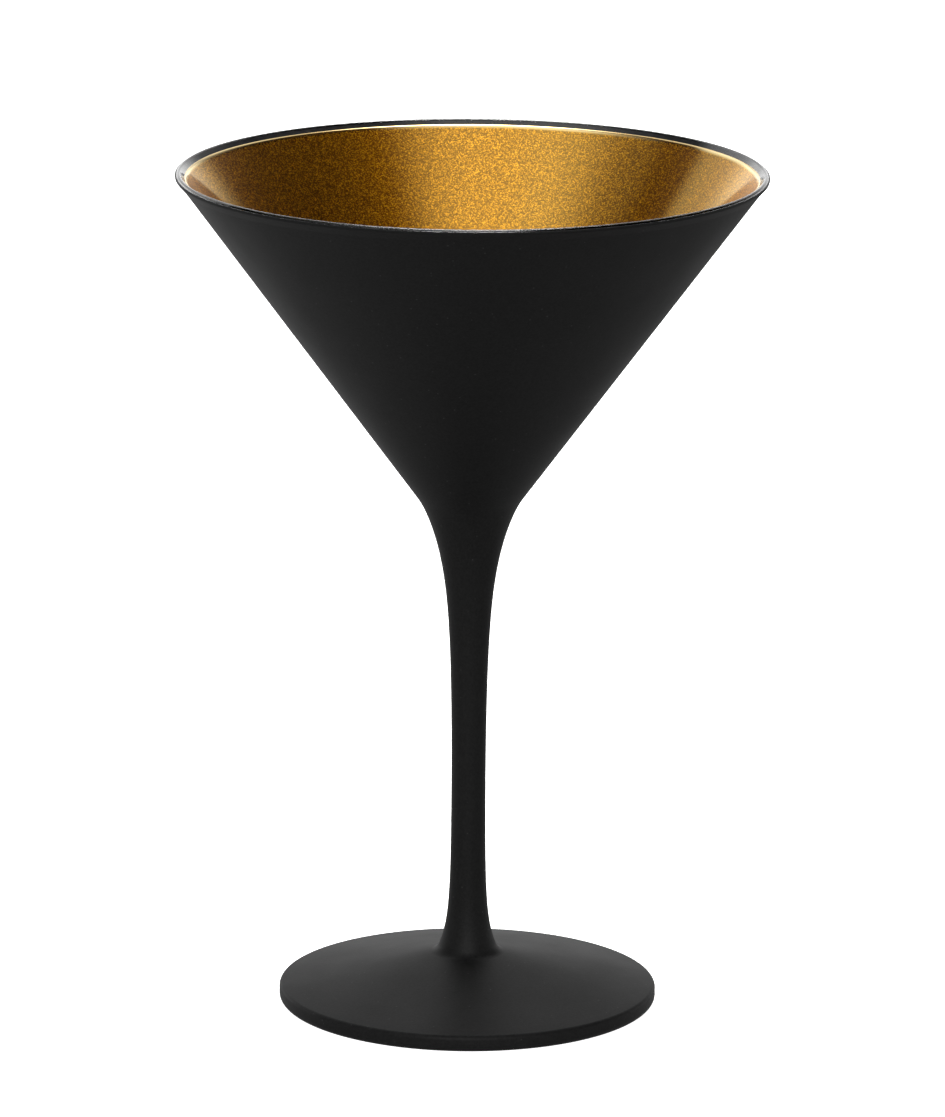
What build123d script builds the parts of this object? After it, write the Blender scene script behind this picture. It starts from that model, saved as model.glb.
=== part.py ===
"""Martini glass: a clear crystal body, lacquered matte black outside and gold inside.

Millimetres, +Z up.  The origin is the centre of the foot, on the table.  Every piece is a
body of revolution, so each profile is drawn as (radius, height) and turned about Z.
The bowl, the stem and the foot are three sections of glass, fused at two seams, and each
wears its own stretch of the black coat.  The gold coat lines the inside of the bowl.
"""
import os
from math import cos, radians, sin, tan

from build123d import *

# Overall size
height = 172.1
rim_radius = 59.5
foot_radius = 38.5

# Coats: thicker than real lacquer, so that they are sound solids
black_coat = 0.15
gold_coat = 0.15

# Bowl: a straight cone that flares a little more, inside and outside, under its rounded lip
cone_angle = 36.37
cone_foot_radius = 10.66
cone_foot_height = 105.3
flare_angle = 43.0
flare_bend = 4.0
inner_flare_length = 1.9
lip_round = 0.6
black_edge_angle = 12.0
bowl_floor_round = 5.0

# Gold coat: its upper edge lies on the flare, just below the lip, and thins out to nothing
gold_edge_drop = 1.0
gold_edge_taper = 0.45

# Seams between the glass sections: radius and height on the black surface, and its lean
upper_seam_radius = 5.62
upper_seam_height = 91.0
upper_seam_lean = 10.0
lower_seam_radius = 5.8
lower_seam_height = 11.48
lower_seam_lean = -20.3

# Stem: its slimmest place, and how far each curve holds the direction of its ends
waist_radius = 3.48
waist_height = 46.0
stem_low_reaches = (5.34, 25.76)
stem_high_reaches = (32.3, 5.1)
neck_reaches = (6.7, 2.7)
inset_steps = 12

# Foot: a low cone with a rounded edge, hollowed a little underneath
foot_slope = 12.1
foot_flare_round = 2.6
foot_top_round = 0.9
foot_bottom_round = 1.2
ring_inner_radius = 33.0
hollow_depth = 1.6


def along(lean):
    """Upward direction of a profile that leans outwards by an angle from the vertical."""
    return Vector(sin(radians(lean)), cos(radians(lean)))


def outward(lean):
    """Outward normal of a profile that leans outwards by an angle from the vertical."""
    return Vector(cos(radians(lean)), -sin(radians(lean)))


def crossing(point_a, direction_a, point_b, direction_b):
    """Point where two straight lines of the profile meet."""
    gap = point_b - point_a
    turn = direction_a.X * direction_b.Y - direction_a.Y * direction_b.X
    distance = (gap.X * direction_b.Y - gap.Y * direction_b.X) / turn
    return point_a + direction_a * distance


def swept_curve(start, start_lean, end, end_lean, reaches):
    """Smooth profile curve that leaves and arrives at the given leans."""
    leaving = start + along(start_lean) * reaches[0]
    arriving = end - along(end_lean) * reaches[1]
    return Bezier(start, leaving, arriving, end)


def inset_curve(curve, depth):
    """Curve that runs at a depth under a profile curve."""
    points = []
    for step in range(inset_steps + 1):
        share = step / inset_steps
        heading = curve.tangent_at(share)
        points.append(curve.position_at(share) - Vector(heading.Y, -heading.X) * depth)
    return Spline(*points, tangents=(curve.tangent_at(0), curve.tangent_at(1)))


# Fixed points of the black surface and of the inside of the bowl
seam_low = Vector(lower_seam_radius, lower_seam_height)
seam_high = Vector(upper_seam_radius, upper_seam_height)
waist = Vector(waist_radius, waist_height)
cone_foot = Vector(cone_foot_radius, cone_foot_height)
lip_centre = Vector(rim_radius - black_coat - lip_round, height - lip_round)
flare_top = lip_centre + outward(flare_angle) * (lip_round + black_coat)
flare_foot = crossing(cone_foot, along(cone_angle), flare_top, along(flare_angle))
inner_lip_lean = flare_angle - 180
wall_top = lip_centre + outward(inner_lip_lean) * lip_round
cone_top = wall_top - along(flare_angle) * inner_flare_length
cone_tip = crossing(cone_top, along(cone_angle), Vector(0, 0), Vector(0, 1))
floor_centre = cone_tip + Vector(0, bowl_floor_round / sin(radians(cone_angle)))
flare_centre = seam_low + outward(lower_seam_lean) * foot_flare_round

# Free curves of the black surface, and the glass surface one coat under them
stem_low_curve = swept_curve(seam_low, lower_seam_lean, waist, 0, stem_low_reaches)
stem_high_curve = swept_curve(waist, 0, seam_high, upper_seam_lean, stem_high_reaches)
neck_curve = swept_curve(seam_high, upper_seam_lean, cone_foot, cone_angle, neck_reaches)
glass_low_curve = inset_curve(stem_low_curve, black_coat)
glass_high_curve = inset_curve(stem_high_curve, black_coat)
glass_neck_curve = inset_curve(neck_curve, black_coat)
glass_seam_low = glass_low_curve @ 0
glass_seam_high = glass_high_curve @ 1


def bowl_outside(depth, lip_end_lean):
    """Outside of the bowl from the foot of the cone, over the lip; gives its last point."""
    bend_reach = tan(radians(flare_angle - cone_angle) / 2) * (flare_bend + depth)
    cone_start = cone_foot - outward(cone_angle) * depth
    flare_end = flare_top - outward(flare_angle) * depth
    corner = crossing(cone_start, along(cone_angle), flare_end, along(flare_angle))
    bend_start = corner - along(cone_angle) * bend_reach
    bend_end = corner + along(flare_angle) * bend_reach
    lip = lip_round + black_coat - depth
    lip_middle = lip_centre + outward((flare_angle + lip_end_lean) / 2) * lip
    lip_end = lip_centre + outward(lip_end_lean) * lip
    Line(cone_start, bend_start)
    TangentArc(bend_start, bend_end, tangent=along(cone_angle))
    Line(bend_end, flare_end)
    ThreePointArc(flare_end, lip_middle, lip_end)
    return lip_end


def bowl_inside(top, depth):
    """Inside of the bowl from a point on the flare to the axis; gives its last point."""
    bend_reach = tan(radians(flare_angle - cone_angle) / 2) * (flare_bend + depth)
    cone_end = cone_top - outward(cone_angle) * depth
    corner = crossing(top, along(flare_angle), cone_end, along(cone_angle))
    bend_start = corner + along(flare_angle) * bend_reach
    bend_end = corner - along(cone_angle) * bend_reach
    reach = bowl_floor_round - depth
    floor_start = floor_centre + outward(cone_angle) * reach
    floor_middle = floor_centre + outward((90 + cone_angle) / 2) * reach
    floor_end = floor_centre + outward(90) * reach
    Line(top, bend_start)
    TangentArc(bend_start, bend_end, tangent=along(flare_angle + 180))
    Line(bend_end, floor_start)
    ThreePointArc(floor_start, floor_middle, floor_end)
    return floor_end


def foot_outside(depth):
    """Foot from its seam over the top, the edge and the underside; gives its two ends."""
    reach = foot_flare_round + depth
    slope_lean = foot_slope - 90
    flare_start = flare_centre - outward(lower_seam_lean) * reach
    flare_middle = flare_centre - outward((lower_seam_lean + slope_lean) / 2) * reach
    flare_end = flare_centre - outward(slope_lean) * reach
    side_low = Vector(foot_radius - depth, depth)
    side_high = crossing(flare_end, along(slope_lean), side_low, Vector(0, 1))
    ring_inner = Vector(ring_inner_radius, depth)
    hollow_top = Vector(0, hollow_depth + depth)
    rounds = [foot_top_round - depth, foot_bottom_round - depth]
    ThreePointArc(flare_start, flare_middle, flare_end)
    FilletPolyline(flare_end, side_high, side_low, ring_inner, radius=rounds)
    TangentArc(hollow_top, ring_inner, tangent=(1, 0))
    return flare_start, hollow_top


# Glass bowl: cone, rounded lip and the solid glass under its floor
with BuildPart() as glass_bowl:
    with BuildSketch(Plane.XZ):
        with BuildLine():
            add(glass_neck_curve)
            inner_lip = bowl_outside(black_coat, inner_lip_lean)
            floor_lowest = bowl_inside(inner_lip, 0)
            base = Vector(0, glass_seam_high.Y)
            Polyline(floor_lowest, base, glass_seam_high)
        make_face()
    revolve(axis=Axis.Z)
glass_bowl.part.label = "glass_bowl"

# Glass stem: a slim solid rod that swells to both seams
with BuildPart() as glass_stem:
    with BuildSketch(Plane.XZ):
        with BuildLine():
            add([glass_low_curve, glass_high_curve])
            stem_base = Vector(0, glass_seam_low.Y)
            stem_top = Vector(0, glass_seam_high.Y)
            Polyline(glass_seam_low, stem_base, stem_top, glass_seam_high)
        make_face()
    revolve(axis=Axis.Z)
glass_stem.part.label = "glass_stem"

# Glass foot: a disc that rises to the lower seam, with a shallow hollow underneath
with BuildPart() as glass_foot:
    with BuildSketch(Plane.XZ):
        with BuildLine():
            seam_edge, hollow_top = foot_outside(black_coat)
            Polyline(hollow_top, Vector(0, seam_edge.Y), seam_edge)
        make_face()
    revolve(axis=Axis.Z)
glass_foot.part.label = "glass_foot"

# Black coat on the bowl: it stops on the outside of the lip and leaves the crest bare
with BuildPart() as bowl_black_lacquer:
    with BuildSketch(Plane.XZ):
        with BuildLine():
            add([neck_curve, glass_neck_curve])
            black_edge = bowl_outside(0, -black_edge_angle)
            black_edge_inner = bowl_outside(black_coat, -black_edge_angle)
            Line(black_edge, black_edge_inner)
            Line(seam_high, glass_seam_high)
        make_face()
    revolve(axis=Axis.Z)
bowl_black_lacquer.part.label = "bowl_black_lacquer"

# Black coat on the stem
with BuildPart() as stem_black_lacquer:
    with BuildSketch(Plane.XZ):
        with BuildLine():
            add([stem_low_curve, stem_high_curve])
            add([glass_low_curve, glass_high_curve])
            Line(seam_low, glass_seam_low)
            Line(seam_high, glass_seam_high)
        make_face()
    revolve(axis=Axis.Z)
stem_black_lacquer.part.label = "stem_black_lacquer"

# Black coat on the foot: it wraps the edge and the underside
with BuildPart() as foot_black_lacquer:
    with BuildSketch(Plane.XZ):
        with BuildLine():
            outer_seam, outer_hollow = foot_outside(0)
            inner_seam, inner_hollow = foot_outside(black_coat)
            Line(outer_seam, inner_seam)
            Line(outer_hollow, inner_hollow)
        make_face()
    revolve(axis=Axis.Z)
foot_black_lacquer.part.label = "foot_black_lacquer"

# Gold coat inside the bowl: its upper edge curves down to the glass, just below the lip
with BuildPart() as gold_lining:
    with BuildSketch(Plane.XZ):
        with BuildLine():
            edge_level = Vector(0, height - gold_edge_drop)
            outer_edge = crossing(wall_top, along(flare_angle), edge_level, Vector(1, 0))
            inner_edge = outer_edge - outward(flare_angle) * gold_coat
            taper_foot = inner_edge - along(flare_angle) * gold_edge_taper
            leaving = (outer_edge + inner_edge) / 2
            arriving = (taper_foot + inner_edge) / 2
            glass_lowest = bowl_inside(outer_edge, 0)
            gold_lowest = bowl_inside(taper_foot, gold_coat)
            Bezier(outer_edge, leaving, arriving, taper_foot)
            Line(glass_lowest, gold_lowest)
        make_face()
    revolve(axis=Axis.Z)
gold_lining.part.label = "gold_lining"

os.makedirs("parts", exist_ok=True)
export_step(glass_bowl.part, "parts/glass_bowl.step")
export_step(glass_stem.part, "parts/glass_stem.step")
export_step(glass_foot.part, "parts/glass_foot.step")
export_step(bowl_black_lacquer.part, "parts/bowl_black_lacquer.step")
export_step(stem_black_lacquer.part, "parts/stem_black_lacquer.step")
export_step(foot_black_lacquer.part, "parts/foot_black_lacquer.step")
export_step(gold_lining.part, "parts/gold_lining.step")
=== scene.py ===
"""Martini glass: a clear crystal body with a matte black coat outside and a gold coat inside.

Metres, +Z up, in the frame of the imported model.  Each visible piece is turned on a fine
lathe, from the section of the CAD node that it stands for.
"""
from math import atan2, ceil, cos, radians, sin, tau

import bpy
from mathutils import Matrix, Vector


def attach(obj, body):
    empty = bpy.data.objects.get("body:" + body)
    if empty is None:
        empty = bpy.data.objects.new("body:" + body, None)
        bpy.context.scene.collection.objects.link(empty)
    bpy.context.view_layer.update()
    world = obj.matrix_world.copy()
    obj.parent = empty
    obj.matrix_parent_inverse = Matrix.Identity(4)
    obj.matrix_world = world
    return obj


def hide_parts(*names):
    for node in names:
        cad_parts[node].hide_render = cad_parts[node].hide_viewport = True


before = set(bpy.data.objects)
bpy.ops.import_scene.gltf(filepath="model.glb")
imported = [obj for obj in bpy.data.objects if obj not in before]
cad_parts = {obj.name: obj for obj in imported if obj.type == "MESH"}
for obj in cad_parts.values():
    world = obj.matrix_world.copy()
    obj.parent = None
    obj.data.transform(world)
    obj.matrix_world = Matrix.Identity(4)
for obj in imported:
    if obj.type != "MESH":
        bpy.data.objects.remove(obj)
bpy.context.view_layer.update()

MM = 0.001
BODY = "root"

# Lathe
ON_SEAM = 1e-6               # a point this near to the seam or the axis is on it
NO_LENGTH = 1e-7             # anything shorter counts as nothing
TURN_STEPS = 240             # quads round each piece
LONGEST_STEP = 3 * MM        # longest quad along a section
STEP_TURN = radians(3)       # most that a section turns from quad to quad
CORNER = radians(50)         # a section that turns more than this at a point has a corner
SHARP_EDGE = 0.7 * CORNER    # an edge that turns more than this is shaded as an edge
STRAIGHT_RATIO = 2.5         # a stretch this much longer than its neighbour is straight
GLASS_BITE = 0.02 * MM       # how far a coat reaches into its glass, so that no air is left

# Lacquer
LIP_LIGHT_FROM = 120 * MM         # height above which an upward face of the black coat is painted lighter, as painted light in the lip
GOLD_THINS = 170.4 * MM      # height where the gold starts to thin out
GOLD_THIN = 170.8 * MM       # height above which the gold is thin and polished
LARGE_FLAKE = 0.18 * MM
SMALL_FLAKE = 0.14 * MM
FLAKE_TILT = 0.04            # how far the flakes' own directions spread

# Studio light: angles in degrees, azimuth from the front towards +X
BAND_FULL, BAND_END = 4, 21  # elevations where the white band low down starts and ends to fade
BAND_LIGHT = 2.2
BAND_BEHIND = 0.75           # share of the band's light that is left straight behind
BEHIND_FROM = 0.7            # depth of a direction, 0 to 1, from which the band gets weaker
DARK_LIGHT = 0.006           # everywhere else
SOFT_LIGHTS = (              # azimuth, elevation, inner and outer reach, strength
    (-20, 54, 2, 45, 0.6),     # in front and above, a little to the left
    (-70, 50, 5, 30, 0.35),    # in front on the left
    (-30, 72, 2, 36, 0.65),    # high up, a little in front and to the left, faint
    (180, 79, 10, 18, 4.5),    # overhead, a little behind
    (180, 66, 8, 20, 7.0),     # behind and high up, small and strong
    (0, 28, 8, 26, 7.0),       # in front
    (180, 42, 8, 42, 1.1),     # behind
    (-140, 18, 14, 24, 0.95),  # behind on the left, low down
)

# Floor
FLOOR_REACH = 12.0
FLOOR_DROP = 2 * GLASS_BITE  # the coat on the foot reaches a little below zero
GLOW_REACH = 0.15            # the floor's glow changes from side to side of the glass

# Camera
CAMERA_PLACE = (0.00051, -1.5028, 0.4608)
CAMERA_PITCH = 13.768        # degrees below level
CAMERA_LEAN = 0.38           # degrees
CAMERA_LENS = 291.2


# ---------------------------------------------------------------- sections of the CAD nodes

def section(node):
    """The node's section as (radius, height) points in order, and whether it is a closed loop.

    It is read from the seam at y = 0.  A section that isn't closed runs from axis to axis.
    """
    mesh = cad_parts[node].data
    places = {}
    for vertex in mesh.vertices:
        x, y, z = vertex.co
        if abs(y) < ON_SEAM and x > -ON_SEAM:
            places[vertex.index] = (round(max(x, 0.0), 7), round(z, 7))
    links = {}
    for edge in mesh.edges:
        a, b = (places.get(index) for index in edge.vertices)
        if a and b and a != b:
            links.setdefault(a, []).append(b)
            links.setdefault(b, []).append(a)
    links = {point: sorted(set(others)) for point, others in links.items()}
    ends = sorted(point for point, others in links.items() if len(others) == 1)
    loop = [ends[0] if ends else min(links)]
    while True:
        onward = [point for point in links[loop[-1]] if point not in loop]
        if not onward:
            break
        loop.append(onward[0])
    points = [Vector(point) for point in loop]
    if ends and points[-1].x > ON_SEAM:
        points.append(Vector((0.0, points[-1].y)))
    return points, not ends


def turn(before, after):
    """Angle in radians that a path turns by between two directions."""
    return abs(atan2(before.x * after.y - before.y * after.x, before.dot(after)))


def smooth(points, closed):
    """The section again with more points, on curves that keep its corners and straights."""
    count = len(points)
    spans = [points[(i + 1) % count] - points[i] for i in range(count if closed else count - 1)]

    def headings(index):
        """Directions in which the path arrives at a point and leaves it."""
        if not closed and index in (0, count - 1):
            span = spans[0 if index == 0 else -1].normalized()
            return span, span
        arriving, leaving = spans[index - 1], spans[index % len(spans)]
        if turn(arriving, leaving) > CORNER:
            return arriving.normalized(), leaving.normalized()
        if arriving.length > STRAIGHT_RATIO * leaving.length or abs(arriving.y) < NO_LENGTH:
            mean = arriving
        elif leaving.length > STRAIGHT_RATIO * arriving.length or abs(leaving.y) < NO_LENGTH:
            mean = leaving
        else:
            mean = arriving / arriving.length_squared + leaving / leaving.length_squared
        return mean.normalized(), mean.normalized()

    fine = []
    for i, span in enumerate(spans):
        start, end = points[i], points[(i + 1) % count]
        leave, arrive = headings(i)[1] * span.length, headings((i + 1) % count)[0] * span.length
        steps = max(1, ceil(span.length / LONGEST_STEP), ceil(turn(leave, arrive) / STEP_TURN))
        for step in range(steps):
            t = step / steps
            fine.append(
                start * (2 * t ** 3 - 3 * t ** 2 + 1)
                + leave * (t ** 3 - 2 * t ** 2 + t)
                + end * (3 * t ** 2 - 2 * t ** 3)
                + arrive * (t ** 3 - t ** 2)
            )
    if not closed:
        fine.append(points[-1])
    return fine


def swell(points, depth):
    """A section grown by a depth on every side."""
    count = len(points)
    area = sum(points[i - 1].x * points[i].y - points[i].x * points[i - 1].y for i in range(count))
    side = 1 if area > 0 else -1
    grown = []
    for i, point in enumerate(points):
        heading = points[(i + 1) % count] - points[i - 1]
        normal = Vector((heading.y, -heading.x)).normalized() * side
        grown.append(Vector((max(point.x + normal.x * depth, 0.0), point.y + normal.y * depth)))
    return grown


# ---------------------------------------------------------------- lathe

def lathe(name, points, closed):
    """A mesh of the section turned about Z, in rings of quads."""
    vertices, faces, rings = [], [], []
    for point in points:
        if point.x < NO_LENGTH:
            rings.append([len(vertices)])
            vertices.append((0.0, 0.0, point.y))
            continue
        first = len(vertices)
        rings.append(list(range(first, first + TURN_STEPS)))
        for step in range(TURN_STEPS):
            angle = tau * step / TURN_STEPS
            vertices.append((point.x * cos(angle), point.x * sin(angle), point.y))
    following = rings[1:] + rings[:1] if closed else rings[1:]
    for low, high in zip(rings, following):
        for step in range(TURN_STEPS):
            after = (step + 1) % TURN_STEPS
            if len(low) == 1:
                faces.append((low[0], high[after], high[step]))
            elif len(high) == 1:
                faces.append((low[step], low[after], high[0]))
            else:
                faces.append((low[step], low[after], high[after], high[step]))
    mesh = bpy.data.meshes.new(name)
    mesh.from_pydata(vertices, [], faces)
    mesh.validate()
    piece = bpy.data.objects.new(name, mesh)
    bpy.context.scene.collection.objects.link(piece)
    return piece


def outward_faces(piece):
    """Turns the faces of a closed piece outwards and shades it smooth up to its corners."""
    bpy.context.view_layer.objects.active = piece
    piece.select_set(True)
    bpy.ops.object.mode_set(mode="EDIT")
    bpy.ops.mesh.select_all(action="SELECT")
    bpy.ops.mesh.normals_make_consistent(inside=False)
    bpy.ops.object.mode_set(mode="OBJECT")
    bpy.ops.object.shade_smooth_by_angle(angle=SHARP_EDGE)
    piece.select_set(False)


def turned_piece(name, node, material, bite=0.0):
    """The fine piece that stands for a CAD node."""
    points, closed = section(node)
    points = smooth(points, closed)
    if bite:
        points = swell(points, bite)
    piece = lathe(name, points, closed)
    outward_faces(piece)
    piece.data.materials.append(material)
    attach(piece, BODY)
    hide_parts(node)


# ---------------------------------------------------------------- materials

def new_material(name):
    """An empty node material with its tree and its Principled shader."""
    material = bpy.data.materials.new(name)
    material.use_nodes = True
    tree = material.node_tree
    return material, tree, tree.nodes["Principled BSDF"]


def node(tree, kind, inputs=(), **settings):
    """A shader node with its settings, and its inputs set or linked by name."""
    made = tree.nodes.new(kind)
    for key, value in settings.items():
        setattr(made, key, value)
    for key, value in dict(inputs).items():
        if isinstance(value, bpy.types.NodeSocket):
            tree.links.new(value, made.inputs[key])
        else:
            made.inputs[key].default_value = value
    return made


def object_place(tree):
    """The shaded point, in the coordinates of its object."""
    return node(tree, "ShaderNodeTexCoord").outputs["Object"]


def ramp(tree, factor, stops):
    """A colour ramp with (place, colour) stops; a single number is a grey."""
    made = node(tree, "ShaderNodeValToRGB", {"Fac": factor})
    elements = made.color_ramp.elements
    while len(elements) < len(stops):
        elements.new(0.5)
    for element, (place, value) in zip(elements, stops):
        element.position = place
        colour = value if isinstance(value, tuple) else (value, value, value)
        element.color = (*colour, 1.0)
    return made.outputs["Color"]


def seen_directly(tree):
    """1 for what is looked at, also through glass, and 0 for light on its way to the object."""
    seen = node(tree, "ShaderNodeLightPath")
    return node(tree, "ShaderNodeMath", {
        0: seen.outputs["Is Camera Ray"], 1: seen.outputs["Is Transmission Ray"]},
        operation="MAXIMUM").outputs["Value"]


def clear_glass():
    """Clear crystal with a very faint ripple."""
    material, tree, shader = new_material("clear_glass")
    place = object_place(tree)
    shader.inputs["Base Color"].default_value = (0.97, 0.985, 0.98, 1)
    shader.inputs["Roughness"].default_value = 0.0
    shader.inputs["IOR"].default_value = 1.52
    shader.inputs["Transmission Weight"].default_value = 1.0
    ripple = node(tree, "ShaderNodeTexNoise", {"Vector": place, "Scale": 90.0, "Detail": 1.0})
    bump = node(tree, "ShaderNodeBump", {
        "Height": ripple.outputs["Fac"], "Strength": 0.02, "Distance": 0.2 * MM})
    tree.links.new(bump.outputs["Normal"], shader.inputs["Normal"])
    return material


def black_lacquer():
    """Sprayed matte black: a fine mist grain, faint clouds of sheen and a few light specks.

    Upward faces of the coat high in the bowl, seen through the bare glass of the lip, are painted
    a lighter grey: painted light for the light that the lip shows.
    """
    material, tree, shader = new_material("black_lacquer")
    place = object_place(tree)
    clouds = node(tree, "ShaderNodeTexNoise", {"Vector": place, "Scale": 60.0, "Detail": 3.0})
    mist = node(tree, "ShaderNodeTexNoise", {"Vector": place, "Scale": 2200.0, "Detail": 2.0})
    specks = node(tree, "ShaderNodeTexVoronoi", {"Vector": place, "Scale": 420.0})
    speck = ramp(tree, specks.outputs["Distance"], [(0.0, 1.0), (0.09, 0.0)])
    colour = ramp(tree, mist.outputs["Fac"], [(0.3, 0.004), (0.7, 0.007)])
    mixed = node(tree, "ShaderNodeMix", data_type="RGBA")
    tree.links.new(speck, mixed.inputs["Factor"])
    tree.links.new(colour, mixed.inputs["A"])
    mixed.inputs["B"].default_value = (0.03, 0.03, 0.03, 1)
    # Painted light: upward faces of the coat above the lip height get a lighter grey base colour,
    # standing in for the light seen in the lip.
    facing = node(tree, "ShaderNodeSeparateXYZ", {
        "Vector": node(tree, "ShaderNodeNewGeometry").outputs["Normal"]}).outputs["Z"]
    level = node(tree, "ShaderNodeSeparateXYZ", {"Vector": place}).outputs["Z"]
    upward = node(tree, "ShaderNodeMath", {0: facing, 1: 0.3}, operation="GREATER_THAN")
    in_bowl = node(tree, "ShaderNodeMath", {0: level, 1: LIP_LIGHT_FROM}, operation="GREATER_THAN")
    lit_lip_mask = node(tree, "ShaderNodeMath", {
        0: upward.outputs["Value"], 1: in_bowl.outputs["Value"]}, operation="MULTIPLY")
    lip_painted_light = node(tree, "ShaderNodeMix", data_type="RGBA")
    tree.links.new(lit_lip_mask.outputs["Value"], lip_painted_light.inputs["Factor"])
    tree.links.new(mixed.outputs["Result"], lip_painted_light.inputs["A"])
    lip_painted_light.inputs["B"].default_value = (0.04, 0.04, 0.042, 1)
    tree.links.new(lip_painted_light.outputs["Result"], shader.inputs["Base Color"])
    rough = node(tree, "ShaderNodeMapRange", {
        "Value": clouds.outputs["Fac"], "From Min": 0.3, "From Max": 0.7,
        "To Min": 0.47, "To Max": 0.53})
    tree.links.new(rough.outputs["Result"], shader.inputs["Roughness"])
    shader.inputs["Specular IOR Level"].default_value = 0.065
    bump = node(tree, "ShaderNodeBump", {
        "Height": mist.outputs["Fac"], "Strength": 0.25, "Distance": 0.05 * MM})
    tree.links.new(bump.outputs["Normal"], shader.inputs["Normal"])
    return material


def gold_lacquer():
    """Metallic flakes under a smooth clear surface, with a paler and smoother sheen.

    The sheen takes over where the gold thins out below the lip.
    """
    material, tree, shader = new_material("gold_lacquer")
    place = object_place(tree)
    normal = node(tree, "ShaderNodeNewGeometry").outputs["Normal"]

    def flakes(size):
        """Colour of the flake at the shaded point, and how far it tilts the surface."""
        cells = node(tree, "ShaderNodeTexVoronoi", {"Vector": place, "Scale": 1 / size})
        centred = node(tree, "ShaderNodeVectorMath", {
            0: cells.outputs["Color"], 1: (-0.5, -0.5, -0.5)}, operation="ADD")
        scaled = node(tree, "ShaderNodeVectorMath", {
            0: centred.outputs["Vector"], "Scale": FLAKE_TILT}, operation="SCALE")
        return cells.outputs["Color"], scaled.outputs["Vector"]

    large_colour, large = flakes(LARGE_FLAKE)
    small_colour, small = flakes(SMALL_FLAKE)
    both = node(tree, "ShaderNodeVectorMath", {0: large, 1: small}, operation="ADD")
    tilted = node(tree, "ShaderNodeVectorMath", {
        0: normal, 1: both.outputs["Vector"]}, operation="ADD")
    unit = node(tree, "ShaderNodeVectorMath", {0: tilted.outputs["Vector"]}, operation="NORMALIZE")
    tree.links.new(unit.outputs["Vector"], shader.inputs["Normal"])
    shades = [node(tree, "ShaderNodeSeparateColor", {"Color": c}).outputs["Red"]
              for c in (large_colour, small_colour)]
    shade = node(tree, "ShaderNodeMix", {0: 0.35, 2: shades[0], 3: shades[1]},
                 data_type="FLOAT").outputs[0]
    colour = ramp(tree, shade, [
        (0.2, (0.12, 0.040, 0.001)), (0.55, (0.22, 0.077, 0.002)),
        (0.75, (0.65, 0.280, 0.009)), (0.9, (0.98, 0.440, 0.015))])
    tree.links.new(colour, shader.inputs["Base Color"])
    shader.inputs["Metallic"].default_value = 1.0
    shader.inputs["Roughness"].default_value = 0.42
    shader.inputs["Coat Weight"].default_value = 0.15
    shader.inputs["Coat Roughness"].default_value = 0.03
    shader.inputs["Coat IOR"].default_value = 1.5

    waves = node(tree, "ShaderNodeTexNoise", {"Vector": place, "Scale": 60.0, "Detail": 1.0})
    ripple = node(tree, "ShaderNodeBump", {
        "Height": waves.outputs["Fac"], "Strength": 0.02, "Distance": 0.2 * MM})
    level = node(tree, "ShaderNodeSeparateXYZ", {"Vector": place}).outputs["Z"]
    edge = node(tree, "ShaderNodeMapRange", {
        "Value": level, "From Min": GOLD_THINS, "From Max": GOLD_THIN}).outputs["Result"]
    pale = ramp(tree, edge, [(0.0, (0.95, 0.66, 0.16)), (1.0, (0.98, 0.79, 0.40))])
    sheen = node(tree, "ShaderNodeBsdfPrincipled", {
        "Base Color": pale, "Metallic": 1.0, "Roughness": 0.10,
        "Normal": ripple.outputs["Normal"]})
    share = node(tree, "ShaderNodeMapRange", {
        "Value": edge, "To Min": 0.19, "To Max": 0.75}).outputs["Result"]
    mixed = node(tree, "ShaderNodeMixShader", {"Fac": share})
    tree.links.new(shader.outputs["BSDF"], mixed.inputs[1])
    tree.links.new(sheen.outputs["BSDF"], mixed.inputs[2])
    tree.links.new(mixed.outputs["Shader"], tree.nodes["Material Output"].inputs["Surface"])
    return material


def pale_floor():
    """A white light table: bright to look at, and dimmer as the light that reaches the glass."""
    material, tree, shader = new_material("pale_floor")
    shader.inputs["Base Color"].default_value = (0.8, 0.8, 0.8, 1)
    shader.inputs["Roughness"].default_value = 0.9
    shader.inputs["Specular IOR Level"].default_value = 0.1
    shader.inputs["Emission Color"].default_value = (1, 1, 1, 1)
    shader.inputs["Emission Strength"].default_value = 0.95
    across = node(tree, "ShaderNodeSeparateXYZ", {"Vector": object_place(tree)}).outputs["X"]
    glow = node(tree, "ShaderNodeMapRange", {
        "Value": across, "From Min": -GLOW_REACH, "From Max": GLOW_REACH,
        "To Min": 0.75, "To Max": 0.48})
    dim = node(tree, "ShaderNodeEmission", {"Strength": glow.outputs["Result"]})
    mixed = node(tree, "ShaderNodeMixShader", {"Fac": seen_directly(tree)})
    tree.links.new(dim.outputs["Emission"], mixed.inputs[1])
    tree.links.new(shader.outputs["BSDF"], mixed.inputs[2])
    tree.links.new(mixed.outputs["Shader"], tree.nodes["Material Output"].inputs["Surface"])
    return material


# ---------------------------------------------------------------- the glass

GLASS = clear_glass()
BLACK = black_lacquer()
GOLD = gold_lacquer()

turned_piece("crystal_bowl", "glass_bowl", GLASS)
turned_piece("black_bowl_coat", "bowl_black_lacquer", BLACK, GLASS_BITE)
turned_piece("black_stem_coat", "stem_black_lacquer", BLACK, GLASS_BITE)
turned_piece("black_foot_coat", "foot_black_lacquer", BLACK, GLASS_BITE)
turned_piece("gold_bowl_coat", "gold_lining", GOLD, GLASS_BITE)

for name in ("glass_stem", "glass_foot"):
    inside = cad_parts[name]
    inside.data.materials.clear()
    inside.data.materials.append(GLASS)


# ---------------------------------------------------------------- studio

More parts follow.
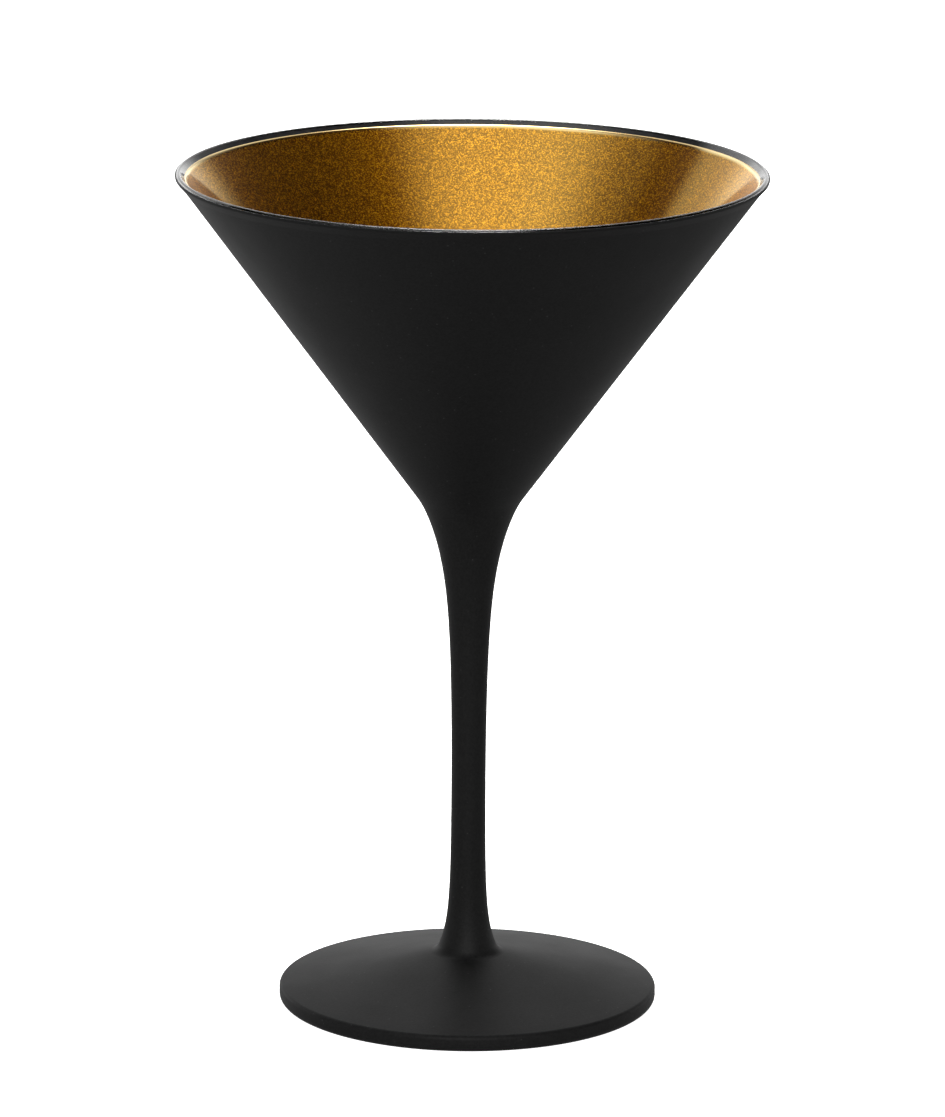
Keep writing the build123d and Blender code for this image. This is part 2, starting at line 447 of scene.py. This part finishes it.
def floor():
    """A plain pale floor, far wider than the picture."""
    mesh = bpy.data.meshes.new("floor")
    signs = [(-1, -1), (1, -1), (1, 1), (-1, 1)]
    corners = [(x * FLOOR_REACH, y * FLOOR_REACH, -FLOOR_DROP) for x, y in signs]
    mesh.from_pydata(corners, [], [(0, 1, 2, 3)])
    made = bpy.data.objects.new("floor", mesh)
    bpy.context.scene.collection.objects.link(made)
    mesh.materials.append(pale_floor())


def sky():
    """The studio: dark, with a low white band and soft lights, and white to look at."""
    world = bpy.data.worlds.new("studio")
    bpy.context.scene.world = world
    world.use_nodes = True
    tree = world.node_tree
    background = tree.nodes["Background"]
    direction = node(tree, "ShaderNodeTexCoord").outputs["Generated"]
    axes = node(tree, "ShaderNodeSeparateXYZ", {"Vector": direction}).outputs
    depth, height = axes["Y"], axes["Z"]

    def fade(value, start, end, start_light, end_light):
        """Light that changes smoothly from one strength to another as a value rises."""
        made = node(tree, "ShaderNodeMapRange", {
            "Value": value, "From Min": start, "From Max": end,
            "To Min": start_light, "To Max": end_light}, interpolation_type="SMOOTHSTEP")
        return made.outputs["Result"]

    band = fade(height, sin(radians(BAND_FULL)), sin(radians(BAND_END)), BAND_LIGHT, DARK_LIGHT)
    behind = fade(depth, BEHIND_FROM, 1.0, 1.0, BAND_BEHIND)
    total = node(tree, "ShaderNodeMath", {0: band, 1: behind},
                 operation="MULTIPLY").outputs["Value"]
    for azimuth, elevation, inner, outer, strength in SOFT_LIGHTS:
        a, e = radians(azimuth), radians(elevation)
        away = (sin(a) * cos(e), -cos(a) * cos(e), sin(e))
        facing = node(tree, "ShaderNodeVectorMath", {0: direction, 1: away},
                      operation="DOT_PRODUCT").outputs["Value"]
        light = fade(facing, cos(radians(outer)), cos(radians(inner)), 0.0, strength)
        total = node(tree, "ShaderNodeMath", {0: total, 1: light},
                     operation="ADD").outputs["Value"]
    shown = node(tree, "ShaderNodeMix", {0: seen_directly(tree), 2: total, 3: 1.0},
                 data_type="FLOAT")
    background.inputs["Color"].default_value = (1, 1, 1, 1)
    tree.links.new(shown.outputs[0], background.inputs["Strength"])


def camera():
    """Long lens, a little above the rim, with the slight lean of the photograph."""
    data = bpy.data.cameras.new("camera")
    data.sensor_fit = "HORIZONTAL"
    data.sensor_width = 36.0
    data.lens = CAMERA_LENS
    data.clip_start, data.clip_end = 0.05, 60.0
    made = bpy.data.objects.new("camera", data)
    made.location = CAMERA_PLACE
    pitch = Matrix.Rotation(radians(90 - CAMERA_PITCH), 3, "X")
    lean = Matrix.Rotation(radians(CAMERA_LEAN), 3, "Z")
    made.rotation_euler = (pitch @ lean).to_euler()
    bpy.context.scene.collection.objects.link(made)
    bpy.context.scene.camera = made


floor()
sky()
camera()

bpy.context.scene.view_settings.view_transform = "Standard"
